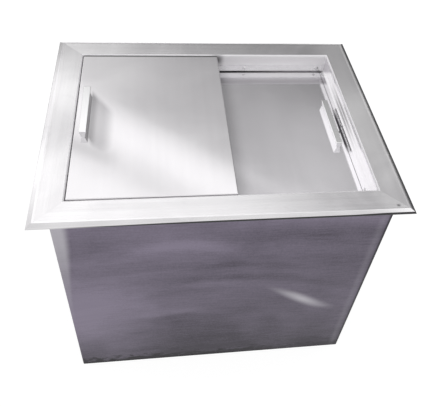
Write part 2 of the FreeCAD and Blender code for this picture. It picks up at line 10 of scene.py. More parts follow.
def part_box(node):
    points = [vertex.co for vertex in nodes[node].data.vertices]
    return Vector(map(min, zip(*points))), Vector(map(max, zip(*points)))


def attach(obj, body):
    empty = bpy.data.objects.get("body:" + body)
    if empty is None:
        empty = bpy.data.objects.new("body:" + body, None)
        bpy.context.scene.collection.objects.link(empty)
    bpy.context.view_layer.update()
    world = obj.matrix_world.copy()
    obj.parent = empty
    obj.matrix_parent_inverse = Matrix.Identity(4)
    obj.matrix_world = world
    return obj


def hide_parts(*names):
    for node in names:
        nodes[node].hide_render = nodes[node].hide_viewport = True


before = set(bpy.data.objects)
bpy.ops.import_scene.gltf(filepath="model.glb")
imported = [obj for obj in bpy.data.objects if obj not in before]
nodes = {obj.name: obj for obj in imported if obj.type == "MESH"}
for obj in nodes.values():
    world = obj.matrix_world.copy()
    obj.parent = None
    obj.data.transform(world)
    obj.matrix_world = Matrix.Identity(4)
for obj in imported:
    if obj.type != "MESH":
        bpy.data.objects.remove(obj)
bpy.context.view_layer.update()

MM = 0.001
LIDS = ("upper", "lower")

# Measures read from the frame
rim_low, rim_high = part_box("rim_front")
back_low, back_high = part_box("runner_bar_back")
right_low, right_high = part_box("runner_bar_right")
wrap_low, wrap_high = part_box("jacket_wrap")
jacket_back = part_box("jacket_back")[1].y
rim_half_length = rim_high.x
rim_half_depth = -rim_low.y
flange_top = rim_high.z
well_half_depth = back_high.y
ledge_low = rim_low.z
jacket_half = wrap_high.x

# Camera, fitted to the photograph
PICTURE_WIDTH = 441
PICTURE_HEIGHT = 407
CAMERA_PLACE = Vector((-0.1068, -0.7596, 1.1267))
CAMERA_YAW = math.radians(12.22)
CAMERA_PITCH = math.radians(44.77)
CAMERA_ROLL = math.radians(7.23)
CAMERA_NEAREST = 0.05
CAMERA_FARTHEST = 100.0
FOCAL_PIXELS = 553.4
CENTRE_PIXEL = (242.7, 159.4)
SENSOR_WIDTH = 36.0

# Studio: a pale floor under one broad slanting light that fades towards the back and the right.
# Each light step is a distance along the slant, per height, and a radiance.
FLOOR_HALF = 14.0
FLOOR_COLOUR = (0.80, 0.80, 0.80)
FLOOR_GLOW = 0.86
FLOOR_SHADE = 0.24
LIGHT_TURN = math.radians(-38.7)
LIGHT_HORIZON = 0.03
LIGHT_FAR = -4.0
LIGHT_NEAR = 2.0
LIGHT_PEAK = 1.60
LIGHT_STEPS = (
    (-4.0, 0.10), (-2.4, 0.12), (-1.95, 0.36), (-1.70, 0.40), (-1.58, 0.28), (-1.525, 0.23), (-1.37, 0.25),
    (-1.29, 0.30), (-1.216, 0.40), (-1.138, 0.47), (-1.01, 0.55), (-0.93, 0.62), (-0.885, 0.70), (-0.85, 1.12),
    (-0.81, 1.34), (-0.765, 1.34), (-0.735, 1.14), (-0.70, 0.98), (-0.665, 1.13), (-0.628, 1.30), (-0.56, 1.33),
    (-0.47, 1.35), (-0.43, 1.50), (-0.40, 1.58), (-0.35, 1.50), (-0.28, 1.20), (-0.15, 0.95), (0.0, 0.85),
    (0.6, 0.98), (2.0, 1.05),
)

# Linear colours
RIM_COLOUR = (0.775, 0.760, 0.782)
LID_COLOUR = (0.770, 0.754, 0.780)
HANDLE_COLOUR = (0.96, 0.955, 0.965)
SAWN_COLOUR = (0.92, 0.92, 0.93)
BAR_COLOUR = (0.96, 0.945, 0.97)
LINER_COLOUR = (0.72, 0.72, 0.73)
DRAIN_COLOUR = (0.78, 0.78, 0.79)
FASTENER_COLOUR = (0.70, 0.70, 0.71)
# Dark tinted film, its darkness partly painted shade
SHADED_FILM_COLOUR = (0.128, 0.1125, 0.147)
# Pale colour of the painted glint and the painted reflections on the folds
JACKET_HIGHLIGHT_COLOUR = (0.47, 0.455, 0.49)
# Near black for painted shade
PAINTED_SHADE_COLOUR = (0.030, 0.028, 0.033)
BLACK = (0.0, 0.0, 0.0)
GLIDE_COLOUR = (0.80, 0.78, 0.72)
FOAM_COLOUR = (0.78, 0.66, 0.36)
RUBBER_COLOUR = (0.022, 0.022, 0.024)

# Ways the grain can run
ALONG_X = (1.0, 0.0, 0.0)
ALONG_Y = (0.0, 1.0, 0.0)
ALONG_Z = (0.0, 0.0, 1.0)

# In the finishes a span is (start, end) or (start, end, value at the start, value at the end), and a band is
# (middle, half width). Tones are the darkest and the palest share of a colour. Noise scales are per metre.

# Brushed steel in general; the noises' scales run along the grain and across it
STREAK_SCALE = (2.0, 90.0)
HAIR_SCALE = (14.0, 1300.0)
HAIR_DEPTH = 0.02 * MM
CLOUDS = dict(scale=(7.0, 7.0, 7.0), roughness=0.55, distortion=0.8, offset=(3.0, 1.0, 7.0))
NARROW_WINDOW = (0.3, 0.7)
MIDDLE_WINDOW = (0.25, 0.75)
WIDE_WINDOW = (0.2, 0.8)
EDGE_RADIUS = 1.2 * MM
EDGE_SAMPLES = 4
EDGE_TURN = 0.12
EDGE_SHARE = 1.2
TANGENT_LEAN = (0.011, 0.013, 0.017)
SATIN_METAL = 0.80
SHEET_TONES = (0.80, 1.20)
SHEET_CLOUD = 0.05
SHEET_WEAR = 0.2
SHEET_BUMP = 0.2
ROUGHNESS_SHARES = (0.85, 1.15)

# Lids: how strong each part of the finish is, and where it lies. The paler part is painted light; the grip
# shadow, the gap, the strip along the other lid, the corner and the back are painted shade.
LID_TONES = (0.70, 1.30)
LID_STREAK = 0.012
LID_CLOUD = 0.03
LID_WEAR = 0.1
LID_ROUGHNESS = (0.07, 0.10)
LID_ANISOTROPY = 0.3
LID_BUMP = 0.06
LID_LOOKS = {
    "upper": dict(
        share=1.0, paler=((-0.05, -0.20), (0.02, 0.14), 0.24),
        grip_shadow=0.45, gap=0.0, passed_shadow=0.0, corner=0.0, back=0.0,
    ),
    "lower": dict(
        share=0.87, paler=((0.05, 0.18), (0.13, -0.02), 0.20),
        grip_shadow=0.0, gap=0.95, passed_shadow=0.38, corner=0.26, back=0.26,
    ),
}
# Painted shade on the strip along the other lid, towards a corner, along the back edge and near the back
PASSED_STRIP = (72 * MM, 34 * MM)
SHADED_CORNER = (0.048, 0.090)
BACK_EDGE_SHADE = (6 * MM, 2.5 * MM)
BACK_EDGE_SHADE_FADE = (0.06, 0.19, 0.9, 0.0)
BACK_SHADE_BAND = (38 * MM, 15 * MM)

# Painted shadow beside a lid's grip and painted shade in the gap beside it, from the grip's right side, its back
# end or its front end
GRIP_SHADOW_SHARE = 0.25
GRIP_SHADOW_WIDTH = (48 * MM, 24 * MM)
GRIP_SHADOW_DRIFT = 0.15
GRIP_SHADOW_SPREAD = 0.5
GRIP_SHADOW_SOFTNESS = 3 * MM
GRIP_SHADOW_SIDE = (-0.3, 1.2)
GRIP_SHADOW_LEAN = 1.4
GRIP_SHADOW_BACK = (10 * MM, -13 * MM)
GRIP_SHADOW_FRONT = (-78 * MM, -6 * MM)
GRIP_SHADOW_NEAR = (17 * MM, 5 * MM)
GRIP_SHADOW_NEAR_GAIN = 1.6
TAIL_LEAN = 0.5
TAIL_MIDDLE = -28 * MM
TAIL_HALF = 34 * MM
TAIL_WIDTH = (70 * MM, 20 * MM)
TAIL_GAIN = 0.55
GAP_SIDE = (6.5 * MM, 8.7 * MM)
GAP_FRONT = (-22 * MM, 12 * MM)
GAP_BACK = (-2 * MM, -44 * MM)

# Handle bars: shape, and finish with the share of the colour that is left on the right side as painted shade
GRIP_FOOT_HALF = 3.0 * MM
GRIP_EDGE = 0.9 * MM
GRIP_EDGE_STEPS = 4
HANDLE_TONES = (0.86, 1.14)
HANDLE_STREAK = 0.014
HANDLE_CLOUD = 0.014
HANDLE_SHADED_SIDE_SHARES = {"upper": 1.0, "lower": 0.16}
HANDLE_RIGHT_TURN = (0.75, 0.92)
HANDLE_END_TURN = (0.6, 0.95)
HANDLE_ROUGHNESS = (0.20, 0.42)
HANDLE_ANISOTROPY = 0.4

# Rails. Tones along a rail are painted light and shade, as (middle, half width, change); painted shadows on the
# wall are a band along the rail, a band of height and a strength; and painted shade spots on the flange are bands
# in x and y and a strength.
RIM_TONES = (0.70, 1.30)
RIM_STREAK = 0.05
RIM_CLOUD = 0.06
RIM_WEAR = 0.15
RIM_ROUGHNESS = (0.15, 0.21)
RIM_ANISOTROPY = 0.5
RIM_BUMP = 0.25
RIM_SMUDGES = dict(scale=(30.0, 30.0, 30.0), detail=4.0, roughness=0.6, distortion=1.2, offset=(1.0, 5.0, 2.0))
RIM_SMUDGE_TONE = (0.58, 0.78, 0.0, -0.06)
UNDER_BAR_SHADE_LEFT = 0.95
RAIL_LOOKS = {
    "front": dict(
        grain=ALONG_X, tones=((0.17, 0.18, -0.19), (-0.22, 0.12, 0.03)), wall_shares=(0.90, 1.14),
        wall_metal=0.15, flange_shade_spots=(((0.2735, 0.005), (-0.225, 0.004), 0.75),),
    ),
    "back": dict(
        grain=ALONG_X, tones=((-0.23, 0.16, 0.22), (0.17, 0.11, -0.27)), wall_shares=(0.95, 1.20),
        wall_metal=0.15, wall_shadows=(((0.019, 0.018), (0.459, 0.022), 0.82),), under_bar_shade_right=0.0,
    ),
    "left": dict(
        grain=ALONG_Y, tones=((0.13, 0.13, 0.26), (-0.03, 0.08, -0.13)), wall_shares=(0.90, 1.20),
        wall_metal=SATIN_METAL,
    ),
    "right": dict(
        grain=ALONG_Y, tones=((-0.01, 0.16, 0.28), (-0.215, 0.06, -0.20)), wall_shares=(0.90, 1.20),
        wall_metal=SATIN_METAL, bevel_metal=0.62, wall_shadows=(((0.03, 0.11), (0.452, 0.008), 0.75),),
    ),
}
MITRE_HALF = 2.5 * MM
MITRE_CHANGE = -0.05
BEVEL_START = (-12 * MM, -10 * MM)
BEVEL_MIDDLE = (-6.5 * MM, -5.5 * MM)
# Painted shade on the lip under the bevel
LIP_SHARE = 0.07
LIP_TOP = (-2.8 * MM, -3.6 * MM)
LIP_FADE = (-0.29, -0.16, 0.2, 1.0)
LIP_GROWTH = (-0.32, 0.0, -0.4 * MM, 1.3 * MM)
LIP_AT_CORNER = (0.19, 0.26, 0.0, 1.1 * MM)
LIP_EDGE = (-0.4 * MM, 0.4 * MM)
WALL_START = (3 * MM, 2 * MM)
WALL_FOLD = (-4 * MM, -2.5 * MM)
FOLD_METAL_LOSS = 0.7
FOLD_ROUGHNESS = 0.25
WALL_ROUGHNESS = 0.5
# Painted shade under the runner bar
UNDER_BAR_SHADE_FADE = (-0.02, 0.17)
UNDER_BAR_SHADE_DROP = 1.5 * MM
UNDER_BAR_SHADE_HALF = 4 * MM

# Jacket film: noises and their tones
FILM_TONES = (0.40, 1.75)
FILM_ROUGHNESS = (0.36, 0.46)
BROAD_ARCS = dict(scale=(17.0, 1.6, 1.0), roughness=0.55, distortion=0.6)
BROAD_ARC_TONE = 0.13
FINE_ARCS = dict(scale=(120.0, 4.0, 1.0), detail=4.0, roughness=0.65, offset=(2.0, 7.0, 1.0))
FINE_ARC_TONE = 0.06
BLOTCHES = dict(scale=(11.0, 11.0, 11.0), distortion=0.7, offset=(4.0, 2.0, 6.0))
BLOTCH_TONE = 0.08
BRUSHING = dict(scale=(22.0, 22.0, 330.0), roughness=0.6)
BRUSHING_TONE = 0.10
BRUSHING_DEPTH = 0.03 * MM
BRUSHING_BUMP = 0.2
SPECKS = dict(scale=(330.0, 330.0, 330.0), detail=2.0, roughness=0.6)
SPECK_TONE = 0.09
# Noise for the ragged edge of the painted shade along the foot
FOOT_SHADE_NOISE = dict(scale=(60.0, 60.0, 130.0), detail=5.0, roughness=0.7, offset=(7.0, 1.0, 3.0))

# Jacket film: arcs and patches, partly wipe marks and partly painted light, shade and reflection. Arcs are a crown
# in x and z, a bend, a half width and a strength, and patches are bands in x and z and a strength.
FRONT_FADE = (20 * MM, 4 * MM)
SWING_CENTRE = (-0.03, -0.10)
SWING_SQUASH = 0.55
ARC_REACH = 0.17
WIPED_ARCS = (
    ((-0.07, 0.395), 3.6, 24 * MM, 0.30),
    ((-0.02, 0.274), 1.1, 18 * MM, 0.24),
    ((-0.07, 0.188), 2.5, 20 * MM, 0.24),
    ((0.02, 0.330), 1.5, 15 * MM, -0.22),
)
FILM_PATCHES = (
    ((-0.235, 0.18), (0.19, 0.24), 0.72),
    ((-0.08, 0.14), (0.385, 0.07), 0.26),
    ((-0.07, 0.17), (0.10, 0.13), -0.34),
    ((0.10, 0.20), (0.20, 0.06), -0.13),
    ((0.12, 0.18), (0.45, 0.05), 0.16),
    ((-0.11, 0.11), (0.415, 0.04), 0.14),
)
# Painted light under the rim and towards the left, and painted shade towards the bottom
UNDER_RIM_TONE = (0.40, 0.455, 0.0, 0.42)
LEFTWARD_TONE = (0.20, -0.22, -0.05, 0.10)
DOWNWARD_TONE = (0.0, 0.20, -0.46, 0.0)

# Jacket film: painted glint as a crescent of two lines of slope and height that run into each other, painted
# reflections on the folds, painted shade at the foot and along one corner
CRESCENT_STEEP = (-0.66, 0.308)
CRESCENT_SHALLOW = (-0.35, 0.247)
CRESCENT_BLEND = 0.01
CRESCENT_SWELL = (0.05, 0.15, 5 * MM, 22 * MM)
CRESCENT_TAPER = (0.25, 0.17, 0.45, 1.0)
CRESCENT_START = (0.075, 0.165)
CRESCENT_END = (0.238, 0.148)
CRESCENT_STRENGTH = 0.90
LEFT_FOLD_WIDTH = (0.20, 0.46, 9 * MM, 29 * MM)
LEFT_FOLD_EDGE = (1.0, 0.5)
LEFT_FOLD_STRENGTH = (0.30, 0.44, 0.38, 0.80)
LEFT_FOLD_FADE = (0.16, 0.36)
RIGHT_FOLD = (14 * MM, 10 * MM)
RIGHT_FOLD_STRENGTH = 0.10
FOOT_SHARE = 0.10
FOOT_RAGGEDNESS = 75 * MM
FOOT_EDGE = (-13 * MM, -27 * MM)
FOOT_FADE = (0.24, -0.02, 0.55, 0.95)
FOOT_OFF_FRONT = (0.0, 1.0, 0.5, 1.0)
# Painted shade along the right corner of the front
DARK_CORNER = (7 * MM, 3 * MM, 0.0, 0.92)

# Plastics
PLASTIC_TONES = (0.85, 1.08)
PLASTIC_PATCHES = dict(scale=(40.0, 40.0, 40.0), detail=2.0)
PEBBLE_PART = 0.4
PEBBLE_DEPTH = 0.25
PEBBLE_BUMP = 0.4
PEBBLE_ROUGHNESS = 0.08

# Fasteners and welds
RUNNER_SCREW = dict(
    head_radius=3.6 * MM, head_height=1.2 * MM, recess_radius=1.7 * MM, recess_width=0.6 * MM, seed=3
)
RIVET = dict(head_radius=4.0 * MM, head_height=1.2 * MM, recess_radius=1.1 * MM, recess_width=0.7 * MM, seed=4)
HANDLE_SCREW = dict(
    head_radius=3.4 * MM, head_height=1.8 * MM, recess_radius=1.8 * MM, recess_width=0.7 * MM, seed=5
)
HEAD_SEGMENTS = 32
HEAD_RINGS = 24
RECESS_LEVEL = 1.05
PUNCH_SIDES = 20
BAR_SCREW_END = 20 * MM
LONG_BAR_SCREWS = 4
SHORT_BAR_SCREWS = 3
LAP_HALF = 9 * MM
RIM_SEAT_DROP = 6 * MM
RIVET_END = 45 * MM
RIVETS_PER_LAP = 4
LID_SHEET = 1 * MM
WELD = dict(bead_pitch=1.6 * MM, bead_width=1.7 * MM, seed=7)
BEAD_FLATNESS = (1.0, 1.0, 0.7)
BEAD_SMALLEST = 0.8
BEAD_LARGEST = 1.1
WELD_END_GAP = 3 * MM
WELD_BAR_GAP = 1 * MM


def opaque(colour):
    return (*colour, 1.0)


def scaled(colour, share):
    return opaque([min(1.0, c * share) for c in colour])


def shifted(span, distance):
    return [value + distance for value in span]


class NodeTree:
    """A node tree, with its nodes added one call at a time."""

    def __init__(self, tree):
        self.tree = tree
        tree.nodes.clear()

    def node(self, kind, inputs=None, **settings):
        """Adds a node; inputs are values, other nodes' outputs or lists of these, by name or place."""
        made = self.tree.nodes.new(kind)
        for key, value in settings.items():
            setattr(made, key, value)
        for key, value in (inputs or {}).items():
            for source in value if isinstance(value, list) else [value]:
                self.feed(made.inputs[key], source)
        return made

    def feed(self, socket, value):
        if isinstance(value, bpy.types.NodeSocket):
            self.tree.links.new(value, socket)
        else:
            socket.default_value = value

    def maths(self, operation, *terms):
        return self.node("ShaderNodeMath", dict(enumerate(terms)), operation=operation).outputs[0]

    def vector(self, *terms):
        return self.node("ShaderNodeCombineXYZ", dict(enumerate(terms))).outputs[0]

    def along_light(self, x, y):
        """Distance along the slant of the studio light."""
        return self.maths(
            "MULTIPLY_ADD", x, math.sin(LIGHT_TURN), self.maths("MULTIPLY", y, -math.cos(LIGHT_TURN))
        )


class Finish(NodeTree):
    """A material with one shader and with masks that read the piece's own coordinates, in metres."""

    def __init__(self, name):
        self.material = bpy.data.materials.new(name)
        self.material.use_nodes = True
        super().__init__(self.material.node_tree)
        self.shader = self.node("ShaderNodeBsdfPrincipled")
        self.node("ShaderNodeOutputMaterial", {"Surface": self.shader.outputs["BSDF"]})
        self.place = self.node("ShaderNodeTexCoord").outputs["Object"]
        self.x, self.y, self.z = self.node("ShaderNodeSeparateXYZ", {0: self.place}).outputs

    def give(self, **values):
        """Sets or links the shader's own sockets; underscores stand for spaces."""
        for key, value in values.items():
            self.feed(self.shader.inputs[key.replace("_", " ")], value)

    def product(self, first, *others):
        for other in others:
            first = self.maths("MULTIPLY", first, other)
        return first

    def total(self, first, *others):
        for other in others:
            first = self.maths("ADD", first, other)
        return first

    def span(self, value, start, end, low=0.0, high=1.0):
        """Smooth step of value from start to end, onto low to high."""
        made = self.node(
            "ShaderNodeMapRange",
            {"Value": value, "From Min": start, "From Max": end, "To Min": low, "To Max": high},
            interpolation_type="SMOOTHSTEP",
        )
        return made.outputs["Result"]

    def band(self, value, middle, half_width):
        """One at the middle, falling smoothly to zero at the half width on both sides."""
        away = self.maths("ABSOLUTE", self.maths("SUBTRACT", value, middle))
        return self.span(away, half_width, 0.0)

    def arc(self, crown, bend, half_width):
        """A soft arched streak on the front: one on its line, with its crown at a place in x and z."""
        aside = self.maths("SUBTRACT", self.x, crown[0])
        drop = self.product(aside, aside, bend)
        return self.band(self.maths("ADD", self.z, drop), crown[1], half_width)

    def noise(self, scale, detail=3.0, roughness=0.5, distortion=0.0, offset=(0.0, 0.0, 0.0), place=None):
        """Noise with its own frequency on each axis."""
        source = self.place if place is None else place
        placed = self.node("ShaderNodeMapping", {"Vector": source, "Location": offset, "Scale": scale})
        made = self.node(
            "ShaderNodeTexNoise",
            {
                "Vector": placed.outputs[0],
                "Scale": 1.0,
                "Detail": detail,
                "Roughness": roughness,
                "Distortion": distortion,
            },
        )
        return made.outputs["Fac"]

    def swing(self, noise, window, reach):
        """A noise as a tone about zero, with the reach on both sides."""
        return self.span(noise, *window, -reach, reach)

    def blend(self, factor, first, second):
        return self.node("ShaderNodeMix", {"Factor": factor, 6: first, 7: second}, data_type="RGBA").outputs[2]

    def toned(self, colour, tone, shares):
        """The colour times one plus the tone, kept between two shares."""
        darkest, palest = shares
        reach = palest - darkest
        factor = self.maths("MULTIPLY_ADD", tone, 1 / reach, (1 - darkest) / reach)
        return self.blend(factor, scaled(colour, darkest), scaled(colour, palest))

    def worn(self, surface, colour, strength):
        """The surface with paler edges."""
        return self.blend(self.product(self.edge(), strength), surface, scaled(colour, EDGE_SHARE))

    def shaded(self, surface, *masks):
        """The surface darkened towards near black, as painted shade, where all masks meet."""
        return self.blend(self.product(*masks), surface, opaque(PAINTED_SHADE_COLOUR))

    def bump(self, height, depth, strength):
        made = self.node("ShaderNodeBump", {"Height": height, "Distance": depth, "Strength": strength})
        return made.outputs["Normal"]

    def normal(self):
        return self.node("ShaderNodeNewGeometry").outputs["Normal"]

    def dot(self, first, second):
        return self.node("ShaderNodeVectorMath", {0: first, 1: second}, operation="DOT_PRODUCT").outputs["Value"]

    def facing(self, direction):
        """How far the surface faces along a direction: one straight along it, minus one straight away."""
        return self.dot(self.normal(), direction)

    def edge(self):
        """One on sharp edges, zero on flat faces."""
        rounded = self.node("ShaderNodeBevel", {"Radius": EDGE_RADIUS}, samples=EDGE_SAMPLES)
        return self.span(self.dot(rounded.outputs[0], self.normal()), 1.0, 1.0 - EDGE_TURN)

    def across(self, grain):
        """Direction on the surface at right angles to the grain, with a little lean where there is none."""
        crossed = self.node("ShaderNodeVectorMath", {0: self.normal(), 1: grain}, operation="CROSS_PRODUCT")
        leaning = self.node("ShaderNodeVectorMath", {0: crossed.outputs[0], 1: TANGENT_LEAN}, operation="ADD")
        return leaning.outputs[0]


def grain_scale(grain, along, cross):
    """Frequencies that stretch a noise along the grain."""
    return tuple(along if g else cross for g in grain)


def steel_shade(finish, grain, streak, cloud):
    """Tone about zero from streaks, hair lines and clouding, and the three noises themselves."""
    streaks = finish.noise(grain_scale(grain, *STREAK_SCALE), detail=4.0, roughness=0.6)
    hair_lines = finish.noise(grain_scale(grain, *HAIR_SCALE), detail=2.0)
    clouds = finish.noise(**CLOUDS)
    shade = finish.total(
        finish.swing(streaks, MIDDLE_WINDOW, streak),
        finish.swing(clouds, NARROW_WINDOW, cloud),
        finish.swing(hair_lines, WIDE_WINDOW, streak / 2),
    )
    return shade, streaks, hair_lines, clouds


def brushed_steel(name, colour, grain, roughness, streak=0.05, anisotropy=0.5):
    """Sheet brushed along one axis, with soft streaks, faint clouding and paler edges."""
    finish = Finish(name)
    shade, _, hair_lines, clouds = steel_shade(finish, grain, streak, SHEET_CLOUD)
    smoothest, roughest = (share * roughness for share in ROUGHNESS_SHARES)
    finish.give(
        Base_Color=finish.worn(finish.toned(colour, shade, SHEET_TONES), colour, SHEET_WEAR),
        Metallic=1.0,
        Roughness=finish.span(clouds, *NARROW_WINDOW, smoothest, roughest),
        Anisotropic=anisotropy,
        Tangent=finish.across(grain),
        Normal=finish.bump(hair_lines, HAIR_DEPTH, SHEET_BUMP),
    )
    return finish.material


def grip_painted_shadow(finish, aside, front_end, back_end, strength):
    """Painted shadow of the grip: a wedge beside the grip and a softer tail before its front end."""
    past_grip = finish.maths("MINIMUM", finish.maths("SUBTRACT", finish.y, front_end), 0.0)
    drift = finish.maths("MULTIPLY_ADD", past_grip, GRIP_SHADOW_DRIFT, aside)
    softness = finish.maths("MULTIPLY_ADD", past_grip, -GRIP_SHADOW_SPREAD, GRIP_SHADOW_SOFTNESS)
    slant = finish.maths("MULTIPLY_ADD", aside, GRIP_SHADOW_LEAN, finish.y)
    wedge = finish.product(
        finish.span(aside, *GRIP_SHADOW_WIDTH),
        finish.span(finish.maths("DIVIDE", drift, softness), *GRIP_SHADOW_SIDE),
        finish.span(slant, *shifted(GRIP_SHADOW_BACK, back_end)),
        finish.span(finish.y, *shifted(GRIP_SHADOW_FRONT, front_end)),
        finish.span(aside, *GRIP_SHADOW_NEAR, strength, GRIP_SHADOW_NEAR_GAIN * strength),
    )
    leaning = finish.maths("MULTIPLY_ADD", aside, TAIL_LEAN, finish.y)
    tail = finish.product(
        finish.band(leaning, front_end + TAIL_MIDDLE, TAIL_HALF),
        finish.span(aside, *TAIL_WIDTH),
        TAIL_GAIN * strength,
    )
    return finish.maths("MAXIMUM", wedge, tail)


def lid_steel(lid, share, paler, grip_shadow, gap, passed_shadow, corner, back):
    """Satin lid with one part paler from painted light, and painted shade along its back edge. It can also have a
    painted shadow beside its grip, and painted shade in the gap between grip and end bar, on the strip that the
    other lid passes, towards one corner and near its back."""
    finish = Finish(lid + "_lid_satin")
    shade, _, hair_lines, clouds = steel_shade(finish, ALONG_Y, LID_STREAK, LID_CLOUD)
    colour = scaled(LID_COLOUR, share)[:3]
    # Painted light on one part of the lid
    pale_x, pale_y, gain = paler
    pale = finish.product(finish.span(finish.x, *pale_x), finish.span(finish.y, *pale_y), gain)
    steel = finish.worn(finish.toned(colour, finish.total(shade, pale), LID_TONES), colour, LID_WEAR)
    grip_low, grip_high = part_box(lid + "_handle")
    aside = finish.maths("SUBTRACT", finish.x, grip_high.x)
    # Painted shadow of the grip
    grip_shadow_mask = grip_painted_shadow(finish, aside, grip_low.y, grip_high.y, grip_shadow)
    steel = finish.blend(grip_shadow_mask, steel, scaled(colour, GRIP_SHADOW_SHARE))
    # Painted shade in the gap between grip and end bar
    steel = finish.shaded(
        steel,
        finish.span(aside, *GAP_SIDE),
        finish.span(finish.y, *shifted(GAP_FRONT, grip_low.y)),
        finish.span(finish.y, *shifted(GAP_BACK, grip_high.y)),
        gap,
    )
    lid_low, lid_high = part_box(lid + "_lid_panel")
    # Painted shade on the strip along the other lid's edge
    from_end = finish.maths("SUBTRACT", finish.x, lid_low.x)
    steel = finish.blend(finish.span(from_end, *PASSED_STRIP, 0.0, passed_shadow), steel, opaque(BLACK))
    # Painted shade towards the corner along the light's slant, along the back edge (both in dull) and near the
    # back
    toward_corner = finish.along_light(finish.x, finish.y)
    from_back = finish.maths("SUBTRACT", lid_high.y, finish.y)
    bend = finish.product(finish.span(from_back, *BACK_EDGE_SHADE), finish.span(finish.x, *BACK_EDGE_SHADE_FADE))
    back_shade_mask = finish.product(finish.band(from_back, *BACK_SHADE_BAND), back)
    dull = finish.maths("MAXIMUM", finish.span(toward_corner, *SHADED_CORNER, 0.0, corner), bend)
    finish.give(
        Base_Color=finish.blend(finish.maths("MAXIMUM", dull, back_shade_mask), steel, opaque(BLACK)),
        Metallic=SATIN_METAL,
        Roughness=finish.span(clouds, *NARROW_WINDOW, *LID_ROUGHNESS),
        Anisotropic=LID_ANISOTROPY,
        Tangent=finish.across(ALONG_Y),
        Normal=finish.bump(hair_lines, HAIR_DEPTH, LID_BUMP),
    )
    return finish.material


def handle_steel(lid, shaded_side_share):
    """Bar polished along its length, with duller sawn ends and a right side that may be darkened as painted shade.
    """
    finish = Finish(lid + "_handle_satin")
    shade, _, hair_lines, _ = steel_shade(finish, ALONG_Y, HANDLE_STREAK, HANDLE_CLOUD)
    steel = finish.toned(HANDLE_COLOUR, shade, HANDLE_TONES)
    # Painted shade on the right side
    right = finish.span(finish.facing(ALONG_X), *HANDLE_RIGHT_TURN)
    steel = finish.blend(right, steel, scaled(HANDLE_COLOUR, shaded_side_share))
    sawn = finish.span(finish.maths("ABSOLUTE", finish.facing(ALONG_Y)), *HANDLE_END_TURN)
    finish.give(
        Base_Color=finish.blend(sawn, steel, opaque(SAWN_COLOUR)),
        Metallic=1.0,
        Roughness=finish.span(sawn, 0.0, 1.0, *HANDLE_ROUGHNESS),
        Anisotropic=HANDLE_ANISOTROPY,
        Tangent=finish.across(ALONG_Y),
        Normal=finish.bump(hair_lines, HAIR_DEPTH, SHEET_BUMP),
    )
    return finish.material


def lip_painted_shade(finish, outside, outward):
    """Painted shade on the lip under the bevel: fading towards the left end, and showing wider at the right front
    corner.
    """
    below = finish.product(
        finish.span(finish.z, *shifted(LIP_TOP, flange_top)), finish.span(finish.x, *LIP_FADE)
    )
    width = finish.total(finish.span(finish.x, *LIP_GROWTH), finish.span(finish.x, *LIP_AT_CORNER))
    rolled = finish.span(finish.maths("ADD", outward, width), *shifted(LIP_EDGE, rim_half_depth))
    return finish.product(outside, finish.maths("MAXIMUM", below, rolled))


